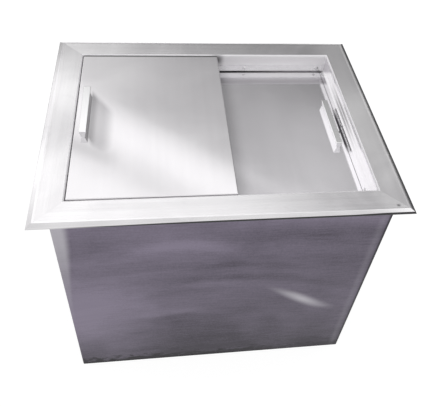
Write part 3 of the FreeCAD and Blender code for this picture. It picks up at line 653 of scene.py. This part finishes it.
def rim_steel(
    side, grain, tones, wall_shares, wall_metal, bevel_metal=1.0, wall_shadows=(), under_bar_shade_right=UNDER_BAR_SHADE_LEFT, flange_shade_spots=()
):
    """Brushed rail: flange with faint smudges, stretches of painted light and shade and spots of painted shade,
    ground mitre welds, painted shade on the lip, and a well wall with painted shadows and painted shade under the
    runner bar."""
    finish = Finish("rim_" + side + "_brushed")
    shade, streaks, hair_lines, clouds = steel_shade(finish, grain, RIM_STREAK, RIM_CLOUD)
    shade = finish.total(shade, finish.span(finish.noise(**RIM_SMUDGES), *RIM_SMUDGE_TONE))
    lengthwise = finish.x if grain == ALONG_X else finish.y
    # Painted light and shade in stretches along the rail
    for middle, half_width, change in tones:
        shade = finish.maths("MULTIPLY_ADD", finish.band(lengthwise, middle, half_width), change, shade)
    out_x = finish.maths("SUBTRACT", finish.maths("ABSOLUTE", finish.x), rim_half_length - rim_half_depth)
    out_y = finish.maths("ABSOLUTE", finish.y)
    mitre = finish.band(finish.maths("SUBTRACT", out_x, out_y), 0.0, MITRE_HALF)
    shade = finish.maths("MULTIPLY_ADD", mitre, MITRE_CHANGE, shade)
    steel = finish.worn(finish.toned(RIM_COLOUR, shade, RIM_TONES), RIM_COLOUR, RIM_WEAR)
    # Painted shade spots on the flange
    for band_x, band_y, strength in flange_shade_spots:
        steel = finish.shaded(steel, finish.band(finish.x, *band_x), finish.band(finish.y, *band_y), strength)

    outward = finish.maths("MAXIMUM", out_x, out_y)
    outside = finish.span(outward, *shifted(BEVEL_START, rim_half_depth))
    inside = finish.span(outward, *shifted(WALL_START, well_half_depth))
    wall = finish.blend(streaks, *(scaled(RIM_COLOUR, share) for share in wall_shares))
    steel = finish.blend(inside, steel, wall)
    # Painted shadows on the well wall
    for stretch, height, strength in wall_shadows:
        steel = finish.shaded(
            steel, inside, finish.band(lengthwise, *stretch), finish.band(finish.z, *height), strength
        )
    # Painted shade on the wall under the runner bar, fading towards the right
    under_bar = finish.band(finish.z, back_low.z - UNDER_BAR_SHADE_DROP, UNDER_BAR_SHADE_HALF)
    steel = finish.shaded(steel, inside, under_bar, finish.span(finish.x, *UNDER_BAR_SHADE_FADE, UNDER_BAR_SHADE_LEFT, under_bar_shade_right))

    fold = finish.product(inside, finish.span(finish.z, *shifted(WALL_FOLD, flange_top)))
    bevel = finish.span(outward, *shifted(BEVEL_MIDDLE, rim_half_depth), bevel_metal, 1.0)
    metal = finish.node("ShaderNodeMix", {"Factor": outside, "A": SATIN_METAL, "B": bevel}).outputs[0]
    metal = finish.maths("MULTIPLY_ADD", inside, wall_metal - SATIN_METAL, metal)
    metal = finish.maths("MULTIPLY_ADD", fold, -FOLD_METAL_LOSS * wall_metal, metal)
    rough = finish.span(clouds, *NARROW_WINDOW, *RIM_ROUGHNESS)
    rough = finish.maths("MULTIPLY_ADD", inside, WALL_ROUGHNESS * (SATIN_METAL - wall_metal), rough)
    finish.give(
        Base_Color=finish.blend(lip_painted_shade(finish, outside, outward), steel, scaled(RIM_COLOUR, LIP_SHARE)),
        Metallic=metal,
        Roughness=finish.maths("MULTIPLY_ADD", fold, FOLD_ROUGHNESS, rough),
        Anisotropic=RIM_ANISOTROPY,
        Tangent=finish.across(grain),
        Normal=finish.bump(hair_lines, HAIR_DEPTH, RIM_BUMP),
    )
    return finish.material


def wiping_marks(finish):
    """Broad and fine noise along arcs about a place below the jacket, as an arm swings a cloth."""
    swing_x = finish.product(finish.maths("SUBTRACT", finish.x, SWING_CENTRE[0]), SWING_SQUASH)
    swing_z = finish.maths("SUBTRACT", finish.z, SWING_CENTRE[1])
    squares = finish.total(finish.product(swing_x, swing_x), finish.product(swing_z, swing_z))
    polar = finish.vector(finish.maths("SQRT", squares), finish.maths("ARCTAN2", swing_x, swing_z), finish.y)
    return finish.noise(**BROAD_ARCS, place=polar), finish.noise(**FINE_ARCS, place=polar)


def painted_glint(finish):
    """Painted glint: a bent streak that swells and tapers off."""
    steep = finish.maths("MULTIPLY_ADD", finish.x, *CRESCENT_STEEP)
    shallow = finish.maths("MULTIPLY_ADD", finish.x, *CRESCENT_SHALLOW)
    path = finish.maths("SMOOTH_MAX", steep, shallow, CRESCENT_BLEND)
    thick = finish.product(finish.span(finish.x, *CRESCENT_SWELL), finish.span(finish.x, *CRESCENT_TAPER))
    off_path = finish.maths("DIVIDE", finish.maths("SUBTRACT", finish.z, path), thick)
    return finish.product(
        finish.band(off_path, 0.0, 1.0),
        finish.span(finish.x, *CRESCENT_START),
        finish.span(finish.x, *CRESCENT_END),
    )


def paler_folds(finish, from_right):
    """Painted reflections on the upright bends at both ends of the front, the left one widening upwards."""
    from_left = finish.maths("ADD", finish.x, jacket_half)
    width = finish.span(finish.z, *LEFT_FOLD_WIDTH)
    left = finish.product(
        finish.span(finish.maths("DIVIDE", from_left, width), *LEFT_FOLD_EDGE),
        finish.span(finish.z, *LEFT_FOLD_STRENGTH),
        finish.span(finish.z, *LEFT_FOLD_FADE),
    )
    right = finish.product(finish.band(from_right, *RIGHT_FOLD), RIGHT_FOLD_STRENGTH)
    return finish.maths("MAXIMUM", left, right)


def filmed_jacket():
    """Dull jacket under a tinted film, its darkness partly painted shade: arcs and patches, partly wipe marks and
    partly painted light, shade and reflection; a painted glint; painted reflections on the folds; and painted
    shade along the foot and at one corner."""
    finish = Finish("filmed_jacket")
    front = finish.span(finish.y, *shifted(FRONT_FADE, wrap_low.y))
    from_right = finish.maths("SUBTRACT", jacket_half, finish.x)
    broad_arcs, fine_arcs = wiping_marks(finish)
    brushing = finish.noise(**BRUSHING)
    tones = [
        finish.swing(broad_arcs, NARROW_WINDOW, BROAD_ARC_TONE),
        finish.swing(fine_arcs, MIDDLE_WINDOW, FINE_ARC_TONE),
        finish.swing(finish.noise(**BLOTCHES), NARROW_WINDOW, BLOTCH_TONE),
        finish.swing(brushing, NARROW_WINDOW, BRUSHING_TONE),
        finish.swing(finish.noise(**SPECKS), NARROW_WINDOW, SPECK_TONE),
        # Painted light under the rim and towards the left, and painted shade towards the bottom
        finish.span(finish.z, *UNDER_RIM_TONE),
        finish.span(finish.x, *LEFTWARD_TONE),
        finish.span(finish.z, *DOWNWARD_TONE),
    ]
    # Arcs and patches: partly wipe marks, partly painted light, shade and reflection
    for crown, bend, half_width, strength in WIPED_ARCS:
        streak = finish.arc(crown, bend, half_width)
        tones.append(finish.product(streak, finish.band(finish.x, crown[0], ARC_REACH), front, strength))
    for band_x, band_z, strength in FILM_PATCHES:
        patch = finish.product(finish.band(finish.x, *band_x), finish.band(finish.z, *band_z))
        tones.append(finish.product(patch, front, strength))
    film = finish.toned(SHADED_FILM_COLOUR, finish.total(*tones), FILM_TONES)

    # Painted glint, and painted reflections on the folds
    crescent = finish.product(painted_glint(finish), front, CRESCENT_STRENGTH)
    folds = finish.product(paler_folds(finish, from_right), front)
    for painted_highlight in (crescent, folds):
        film = finish.blend(painted_highlight, film, opaque(JACKET_HIGHLIGHT_COLOUR))
    # Painted shade along the foot, with a ragged top edge
    ragged = finish.maths("MULTIPLY_ADD", finish.noise(**FOOT_SHADE_NOISE), -FOOT_RAGGEDNESS, finish.z)
    foot = finish.product(
        finish.span(ragged, *FOOT_EDGE), finish.span(finish.x, *FOOT_FADE), finish.span(front, *FOOT_OFF_FRONT)
    )
    film = finish.blend(foot, film, scaled(SHADED_FILM_COLOUR, FOOT_SHARE))
    # Painted shade along the right corner of the front
    finish.give(
        Base_Color=finish.shaded(film, finish.span(from_right, *DARK_CORNER), front),
        Metallic=1.0,
        Roughness=finish.span(fine_arcs, *MIDDLE_WINDOW, *FILM_ROUGHNESS),
        Normal=finish.bump(brushing, BRUSHING_DEPTH, BRUSHING_BUMP),
    )
    return finish.material


def plain_plastic(name, colour, roughness, grain_size):
    """Dull moulded plastic with a fine pebbled skin."""
    finish = Finish(name)
    pebbles = finish.noise((1 / grain_size,) * 3)
    patches = finish.noise(**PLASTIC_PATCHES)
    tone = finish.total(finish.product(pebbles, PEBBLE_PART), finish.product(patches, 1 - PEBBLE_PART))
    smoothest, roughest = roughness - PEBBLE_ROUGHNESS, roughness + PEBBLE_ROUGHNESS
    finish.give(
        Base_Color=finish.blend(tone, *(scaled(colour, share) for share in PLASTIC_TONES)),
        Roughness=finish.span(pebbles, *WIDE_WINDOW, smoothest, roughest),
        Normal=finish.bump(pebbles, PEBBLE_DEPTH * grain_size, PEBBLE_BUMP),
    )
    return finish.material


def dress(material, *names):
    for name in names:
        slots = nodes[name].data.materials
        slots.clear()
        slots.append(material)


fastener_steel = brushed_steel("fastener_bright", FASTENER_COLOUR, ALONG_Z, roughness=0.26, anisotropy=0.1)
bar_screw_steel = brushed_steel("bar_screw_bright", BAR_COLOUR, ALONG_Z, roughness=0.30, anisotropy=0.0)
weld_steel = brushed_steel("weld_bright", RIM_COLOUR, ALONG_Z, roughness=0.30, streak=0.08, anisotropy=0.0)
long_bar_steel = brushed_steel("bar_drawn_lengthwise", BAR_COLOUR, ALONG_X, roughness=0.14)
short_bar_steel = brushed_steel("bar_drawn_crosswise", BAR_COLOUR, ALONG_Y, roughness=0.14)
liner_steel = brushed_steel("liner_satin", LINER_COLOUR, ALONG_Z, roughness=0.32)
drain_steel = brushed_steel("drain_turned", DRAIN_COLOUR, ALONG_Z, roughness=0.25, anisotropy=0.2)
glide_plastic = plain_plastic("glide_plastic", GLIDE_COLOUR, roughness=0.45, grain_size=0.5 * MM)
foam = plain_plastic("foam_cells", FOAM_COLOUR, roughness=0.85, grain_size=1.2 * MM)
rubber = plain_plastic("gasket_rubber", RUBBER_COLOUR, roughness=0.65, grain_size=0.4 * MM)
handle_finishes = {lid: handle_steel(lid, share) for lid, share in HANDLE_SHADED_SIDE_SHARES.items()}

for side, look in RAIL_LOOKS.items():
    dress(rim_steel(side, **look), "rim_" + side)
    dress(foam, "insulation_" + side)
dress(long_bar_steel, "runner_bar_front", "runner_bar_back")
dress(short_bar_steel, "runner_bar_left", "runner_bar_right")
for lid in LIDS:
    dress(lid_steel(lid, **LID_LOOKS[lid]), lid + "_lid_panel")
    dress(handle_finishes[lid], lid + "_handle")
    dress(fastener_steel, lid + "_handle_screws")
    dress(glide_plastic, lid + "_lid_glides")
dress(fastener_steel, "runner_screws", "jacket_rivets", "drain_screw")
dress(filmed_jacket(), "jacket_wrap", "jacket_back", "jacket_base")
dress(liner_steel, "liner")
dress(drain_steel, "drain_body", "drain_strainer", "drain_washer", "drain_locknut")
dress(foam, "insulation_base")
dress(rubber, "drain_gasket")


def undercut_bar(lid):
    """Handle bar: flat top, sides that slope in to a narrow foot, and softened edges."""
    low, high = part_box(lid + "_handle")
    middle = (low.x + high.x) / 2
    top_half = (high.x - low.x) / 2
    section = ((-GRIP_FOOT_HALF, low.z), (GRIP_FOOT_HALF, low.z), (top_half, high.z), (-top_half, high.z))
    shape = bmesh.new()
    near = [shape.verts.new((middle + x, low.y, z)) for x, z in section]
    far = [shape.verts.new((middle + x, high.y, z)) for x, z in section]
    shape.faces.new(near)
    shape.faces.new(far)
    for i in range(len(section)):
        shape.faces.new((near[i - 1], near[i], far[i], far[i - 1]))
    bmesh.ops.recalc_face_normals(shape, faces=shape.faces)
    waist = (low.z + high.z) / 2
    soft = [edge for edge in shape.edges if max(corner.co.z for corner in edge.verts) > waist]
    bmesh.ops.bevel(shape, geom=soft, offset=GRIP_EDGE, segments=GRIP_EDGE_STEPS, profile=0.5, affect="EDGES")
    mesh = bpy.data.meshes.new(lid + "_handle_bar")
    shape.to_mesh(mesh)
    shape.free()
    mesh.materials.append(handle_finishes[lid])
    bar = bpy.data.objects.new(lid + "_handle_bar", mesh)
    bpy.context.scene.collection.objects.link(bar)
    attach(bar, lid + "_lid")
    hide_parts(lid + "_handle")


for lid in LIDS:
    undercut_bar(lid)


class Grower(NodeTree):
    """A Geometry Nodes tree with named inputs, ending in real faces with one material."""

    def __init__(self, name):
        super().__init__(bpy.data.node_groups.new(name, "GeometryNodeTree"))
        self.socket("Places", "NodeSocketGeometry")
        self.socket("Material", "NodeSocketMaterial")
        self.socket("Pieces", "NodeSocketGeometry", way="OUTPUT")
        self.entry = self.node("NodeGroupInput")
        self.exit = self.node("NodeGroupOutput")

    def socket(self, name, kind, way="INPUT"):
        self.tree.interface.new_socket(name, in_out=way, socket_type=kind)

    def size(self, name, kind="NodeSocketFloat"):
        self.socket(name, kind)
        return self.entry.outputs[name]

    def places(self):
        return self.entry.outputs["Places"]

    def close(self, instances):
        real = self.node("GeometryNodeRealizeInstances", {"Geometry": instances})
        painted = self.node(
            "GeometryNodeSetMaterial", {"Geometry": real.outputs[0], "Material": self.entry.outputs["Material"]}
        )
        self.feed(self.exit.inputs["Pieces"], painted.outputs[0])

    def grow(self, name, seeds, material, body, slot, replaced=None, **sizes):
        """Runs the tree on a seed mesh and keeps the outcome as a plain mesh that rides on a body."""
        piece = bpy.data.objects.new(name, seeds)
        bpy.context.scene.collection.objects.link(piece)
        modifier = piece.modifiers.new(name, "NODES")
        modifier.node_group = self.tree
        wanted = {key.replace("_", " "): value for key, value in sizes.items()}
        wanted["material"] = material
        for item in self.tree.interface.items_tree:
            if item.in_out == "INPUT" and item.name.lower() in wanted:
                modifier[item.identifier] = wanted[item.name.lower()]
        depsgraph = bpy.context.evaluated_depsgraph_get()
        mesh = bpy.data.meshes.new_from_object(piece.evaluated_get(depsgraph), depsgraph=depsgraph)
        piece.modifiers.remove(modifier)
        piece.data = mesh
        mesh.name = name
        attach(piece, body)
        if replaced:
            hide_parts(replaced)


def fastener_grower(name, crossed):
    """Domed heads on the places' facing, each with a cross recess or a round punch mark, turned at random."""
    grower = Grower(name)
    radius = grower.size("Head Radius")
    height = grower.size("Head Height")
    recess = grower.size("Recess Radius")
    width = grower.size("Recess Width")
    seed = grower.size("Seed", "NodeSocketInt")
    ball = grower.node(
        "GeometryNodeMeshUVSphere", {"Segments": HEAD_SEGMENTS, "Rings": HEAD_RINGS, "Radius": 1.0}
    )
    dome = grower.node(
        "GeometryNodeTransform",
        {"Geometry": ball.outputs["Mesh"], "Scale": grower.vector(radius, radius, height)},
    )
    if crossed:
        length = grower.maths("MULTIPLY", recess, 2.0)
        sizes = (grower.vector(length, width, height), grower.vector(width, length, height))
        cutters = [grower.node("GeometryNodeMeshCube", {"Size": size}) for size in sizes]
    else:
        cutters = [
            grower.node(
                "GeometryNodeMeshCylinder",
                {"Vertices": PUNCH_SIDES, "Radius": recess, "Depth": height},
                fill_type="NGON",
            )
        ]
    level = grower.vector(0.0, 0.0, grower.maths("MULTIPLY", height, RECESS_LEVEL))
    cuts = [
        grower.node("GeometryNodeTransform", {"Geometry": cutter.outputs["Mesh"], "Translation": level}).outputs[0]
        for cutter in cutters
    ]
    head = grower.node(
        "GeometryNodeMeshBoolean", {"Mesh 1": dome.outputs[0], "Mesh 2": cuts}, operation="DIFFERENCE"
    )
    facing = grower.node("GeometryNodeInputNamedAttribute", {"Name": "facing"}, data_type="FLOAT_VECTOR")
    aimed = grower.node("FunctionNodeAlignRotationToVector", {"Vector": facing.outputs[0]}, axis="Z")
    turn = grower.node("FunctionNodeRandomValue", {"Seed": seed, 3: math.pi}, data_type="FLOAT")
    spin = grower.node("FunctionNodeAxisAngleToRotation", {"Axis": ALONG_Z, "Angle": turn.outputs[1]})
    turned = grower.node(
        "FunctionNodeRotateRotation",
        {"Rotation": aimed.outputs[0], "Rotate By": spin.outputs[0]},
        rotation_space="LOCAL",
    )
    spread = grower.node(
        "GeometryNodeInstanceOnPoints",
        {"Points": grower.places(), "Instance": head.outputs[0], "Rotation": turned.outputs[0]},
    )
    grower.close(spread.outputs[0])
    return grower


def weld_grower():
    """Overlapping beads along the seed mesh's edges, each a little different in size."""
    grower = Grower("weld_beads")
    pitch = grower.size("Bead Pitch")
    width = grower.size("Bead Width")
    seed = grower.size("Seed", "NodeSocketInt")
    path = grower.node("GeometryNodeMeshToCurve", {"Mesh": grower.places()})
    stops = grower.node("GeometryNodeResampleCurve", {"Curve": path.outputs[0], "Length": pitch}, mode="LENGTH")
    bead = grower.node("GeometryNodeMeshIcoSphere", {"Radius": width, "Subdivisions": 2})
    flat = grower.node("GeometryNodeTransform", {"Geometry": bead.outputs["Mesh"], "Scale": BEAD_FLATNESS})
    smooth = grower.node("GeometryNodeSetShadeSmooth", {"Geometry": flat.outputs[0]})
    change = grower.node(
        "FunctionNodeRandomValue", {"Seed": seed, 2: BEAD_SMALLEST, 3: BEAD_LARGEST}, data_type="FLOAT"
    )
    spread = grower.node(
        "GeometryNodeInstanceOnPoints",
        {"Points": stops.outputs[0], "Instance": smooth.outputs[0], "Scale": change.outputs[1]},
    )
    grower.close(spread.outputs[0])
    return grower


def seed_points(name, places):
    """Mesh of loose points; places are pairs of point and facing."""
    points, facings = zip(*places)
    mesh = bpy.data.meshes.new(name)
    mesh.from_pydata(points, [], [])
    stored = mesh.attributes.new("facing", "FLOAT_VECTOR", "POINT")
    for i, facing in enumerate(facings):
        stored.data[i].vector = facing
    return mesh


def seed_lines(name, lines):
    """Mesh of separate straight edges."""
    mesh = bpy.data.meshes.new(name)
    points = [point for line in lines for point in line]
    mesh.from_pydata(points, [(2 * i, 2 * i + 1) for i in range(len(lines))], [])
    return mesh


def evenly(low, high, count):
    return [low + (high - low) * i / (count - 1) for i in range(count)]


def runner_screw_places():
    level = (back_low.z + back_high.z) / 2
    places = []
    for x in evenly(back_low.x + BAR_SCREW_END, back_high.x - BAR_SCREW_END, LONG_BAR_SCREWS):
        places.append(((x, back_low.y, level), (0, -1, 0)))
        places.append(((x, -back_low.y, level), (0, 1, 0)))
    for y in evenly(right_low.y + BAR_SCREW_END, right_high.y - BAR_SCREW_END, SHORT_BAR_SCREWS):
        places.append(((right_low.x, y, level), (-1, 0, 0)))
        places.append(((-right_low.x, y, level), (1, 0, 0)))
    return places


def rivet_places():
    heights = evenly(RIVET_END, flange_top - RIM_SEAT_DROP - RIVET_END, RIVETS_PER_LAP)
    return [((side * (jacket_half - LAP_HALF), jacket_back, z), (0, 1, 0)) for side in (-1, 1) for z in heights]


def handle_screw_places(lid):
    low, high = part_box(lid + "_handle_screws")
    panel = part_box(lid + "_lid_panel")[1]
    radius = (high.x - low.x) / 2
    ends = (low.y + radius, high.y - radius)
    return [((low.x + radius, y, panel.z - LID_SHEET), (0, 0, -1)) for y in ends]


def corner_weld_lines():
    """Upright lines in the four corners of the well, above and below the bars."""
    lower = (ledge_low + WELD_END_GAP, back_low.z - WELD_BAR_GAP)
    upper = (back_high.z + WELD_BAR_GAP, flange_top - WELD_END_GAP)
    lines = []
    for x in (-right_high.x, right_high.x):
        for y in (-back_high.y, back_high.y):
            for low, high in (lower, upper):
                lines.append(((x, y, low), (x, y, high)))
    return lines


screw_heads = fastener_grower("cross_recess_heads", True)
rivet_heads = fastener_grower("rivet_heads", False)
screw_heads.grow(
    "runner_screw_heads", seed_points("runner_screw_heads", runner_screw_places()), bar_screw_steel, "bin",
    "fastener_steel", "runner_screws", **RUNNER_SCREW,
)
rivet_heads.grow(
    "jacket_rivet_heads", seed_points("jacket_rivet_heads", rivet_places()), fastener_steel, "bin",
    "fastener_steel", "jacket_rivets", **RIVET,
)
for lid in LIDS:
    screw_heads.grow(
        lid + "_handle_screw_heads", seed_points(lid + "_handle_screw_heads", handle_screw_places(lid)),
        fastener_steel, lid + "_lid", "fastener_steel", lid + "_handle_screws", **HANDLE_SCREW,
    )
weld_grower().grow(
    "well_corner_welds", seed_lines("well_corner_welds", corner_weld_lines()), weld_steel, "bin", "rim_steel",
    **WELD,
)


def floor_finish():
    """Pale floor that reads white to the eye and in the steel, and still takes a soft shadow."""
    material = bpy.data.materials.new("studio_floor")
    material.use_nodes = True
    tree = NodeTree(material.node_tree)
    ray = tree.node("ShaderNodeLightPath").outputs
    seen = tree.maths("MAXIMUM", ray["Is Camera Ray"], ray["Is Glossy Ray"])
    through = tree.maths("MAXIMUM", seen, ray["Is Transmission Ray"])
    plain = tree.node("ShaderNodeBsdfDiffuse", {"Color": opaque(FLOOR_COLOUR)})
    glow = tree.node("ShaderNodeEmission", {"Strength": FLOOR_GLOW})
    shade = tree.node("ShaderNodeBsdfDiffuse", {"Color": opaque((FLOOR_SHADE,) * 3)})
    white = tree.node("ShaderNodeAddShader", {0: glow.outputs[0], 1: shade.outputs[0]})
    mix = tree.node("ShaderNodeMixShader", {0: through, 1: plain.outputs[0], 2: white.outputs[0]})
    tree.node("ShaderNodeOutputMaterial", {"Surface": mix.outputs[0]})
    return material


def studio_floor():
    corners = [(-FLOOR_HALF, -FLOOR_HALF, 0), (FLOOR_HALF, -FLOOR_HALF, 0),
               (FLOOR_HALF, FLOOR_HALF, 0), (-FLOOR_HALF, FLOOR_HALF, 0)]
    mesh = bpy.data.meshes.new("studio_floor")
    mesh.from_pydata(corners, [], [(0, 1, 2, 3)])
    mesh.materials.append(floor_finish())
    floor = bpy.data.objects.new("studio_floor", mesh)
    bpy.context.scene.collection.objects.link(floor)


def studio_world():
    """Broad light across the room: steps of brightness from the far right, over the top, to the near left."""
    world = bpy.data.worlds.new("studio")
    world.use_nodes = True
    tree = NodeTree(world.node_tree)
    place = tree.node("ShaderNodeTexCoord").outputs["Generated"]
    x, y, z = tree.node("ShaderNodeSeparateXYZ", {0: place}).outputs
    slant = tree.maths("DIVIDE", tree.along_light(x, y), tree.maths("MAXIMUM", z, LIGHT_HORIZON))
    reach = tree.node("ShaderNodeMapRange", {"Value": slant, "From Min": LIGHT_FAR, "From Max": LIGHT_NEAR})
    ramp = tree.node("ShaderNodeValToRGB", {"Fac": reach.outputs["Result"]})
    stops = ramp.color_ramp.elements
    while len(stops) < len(LIGHT_STEPS):
        stops.new(0.5)
    for stop, (step, radiance) in zip(stops, LIGHT_STEPS):
        stop.position = (step - LIGHT_FAR) / (LIGHT_NEAR - LIGHT_FAR)
        stop.color = opaque((radiance / LIGHT_PEAK,) * 3)
    light = tree.node("ShaderNodeBackground", {"Color": ramp.outputs["Color"], "Strength": LIGHT_PEAK})
    tree.node("ShaderNodeOutputWorld", {"Surface": light.outputs[0]})
    bpy.context.scene.world = world


def photo_camera():
    forward = Vector((
        math.sin(CAMERA_YAW) * math.cos(CAMERA_PITCH),
        math.cos(CAMERA_YAW) * math.cos(CAMERA_PITCH),
        -math.sin(CAMERA_PITCH),
    ))
    level = Vector((math.cos(CAMERA_YAW), -math.sin(CAMERA_YAW), 0.0))
    upward = level.cross(forward)
    right = math.cos(CAMERA_ROLL) * level + math.sin(CAMERA_ROLL) * upward
    up = math.cos(CAMERA_ROLL) * upward - math.sin(CAMERA_ROLL) * level
    lens = bpy.data.cameras.new("photo_camera")
    lens.sensor_width = SENSOR_WIDTH
    lens.lens = FOCAL_PIXELS * SENSOR_WIDTH / PICTURE_WIDTH
    lens.shift_x = (PICTURE_WIDTH / 2 - CENTRE_PIXEL[0]) / PICTURE_WIDTH
    lens.shift_y = (CENTRE_PIXEL[1] - PICTURE_HEIGHT / 2) / PICTURE_WIDTH
    lens.clip_start = CAMERA_NEAREST
    lens.clip_end = CAMERA_FARTHEST
    camera = bpy.data.objects.new("photo_camera", lens)
    turn = Matrix((right, up, -forward)).transposed().to_4x4()
    camera.matrix_world = Matrix.Translation(CAMERA_PLACE) @ turn
    bpy.context.scene.collection.objects.link(camera)
    bpy.context.scene.camera = camera


studio_floor()
studio_world()
photo_camera()
bpy.context.scene.view_settings.view_transform = "Standard"
